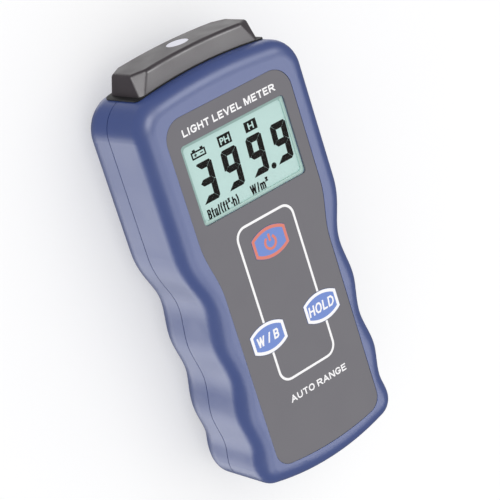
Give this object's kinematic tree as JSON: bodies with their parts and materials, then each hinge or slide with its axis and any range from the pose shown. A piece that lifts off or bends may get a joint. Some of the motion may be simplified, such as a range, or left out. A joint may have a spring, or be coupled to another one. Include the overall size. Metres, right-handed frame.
{
  "type": "handheld solar light meter",
  "caption": "Handheld light meter with a waisted finger-grip case, a sensor head with a round diffuser on top, a display window, push keys and a sliding battery door.",
  "frame": {"origin": "on the flat back face, in the middle of the whole length and width", "axes": "+Z out of the display, +Y towards the sensor head, +X to the right seen from the front"},
  "size_m": [0.06, 0.132, 0.034],
  "materials": {
    "case_blue": "fine satin texture",
    "film_grey": "matt printed film",
    "window_clear": "clear, polished",
    "lcd_glass": "polished",
    "lcd_back": "matt",
    "frame_white": "matt",
    "zebra_rubber": "matt",
    "key_blue": "satin",
    "key_rod": "matt",
    "switch_black": "matt",
    "head_black": "fine spark texture",
    "gasket_black": "matt",
    "diffuser_white": "matt",
    "optic_glass": "polished",
    "board_green": "solder mask",
    "steel": "zinc plated",
    "battery_jacket": "gloss printed jacket",
    "snap_black": "matt",
    "lead_red": "matt",
    "foam_grey": "open foam",
    "label_silver": "satin foil"
  },
  "bodies": {
    "case": {"front_shell": "case_blue", "rear_shell": "case_blue", "overlay_panel": "film_grey", "display_window": "window_clear", "sensor_head": "head_black", "head_gasket": "gasket_black", "diffuser": "diffuser_white", "case_screws": "steel", "rating_label": "label_silver", "lcd_polariser": "lcd_glass", "lcd_front_glass": "lcd_glass", "lcd_rear_glass": "lcd_glass", "lcd_reflector": "lcd_back", "lcd_frame": "frame_white", "zebra_strips": "zebra_rubber", "main_board": "board_green", "board_screws": "steel", "main_chip": "switch_black", "chip_pins": "steel", "crystal": "steel", "capacitor": "steel", "trimmer": "switch_black", "switch_housings": "switch_black", "optical_filter": "optic_glass", "filter_collar": "frame_white", "photodiode": "optic_glass", "sensor_board": "board_green", "sensor_header": "switch_black", "sensor_pins": "steel", "battery": "battery_jacket", "battery_terminals": "steel", "snap_contacts": "steel", "battery_snap": "snap_black", "battery_lead_red": "lead_red", "battery_lead_black": "snap_black"},
    "power_button": {"power_key": "key_blue", "power_plunger": "key_rod", "power_actuator": "switch_black"},
    "unit_button": {"unit_key": "key_blue", "unit_plunger": "key_rod", "unit_actuator": "switch_black"},
    "hold_button": {"hold_key": "key_blue", "hold_plunger": "key_rod", "hold_actuator": "switch_black"},
    "battery_cover": {"battery_door": "case_blue", "door_foam": "foam_grey"}
  },
  "joints": [
    {"name": "power_press", "type": "slide", "parent": "case", "child": "power_button", "axis": [0, 0, -1], "range_m": [0, 0.0003], "stiffness_N_per_m": 600, "springref_m": -0.0002},
    {"name": "unit_press", "type": "slide", "parent": "case", "child": "unit_button", "axis": [0, 0, -1], "range_m": [0, 0.0003], "stiffness_N_per_m": 600, "springref_m": -0.0002},
    {"name": "hold_press", "type": "slide", "parent": "case", "child": "hold_button", "axis": [0, 0, -1], "range_m": [0, 0.0003], "stiffness_N_per_m": 600, "springref_m": -0.0002},
    {"name": "door_slide", "type": "slide", "parent": "case", "child": "battery_cover", "axis": [0, -1, 0], "range_m": [0, 0.062]}
  ]
}
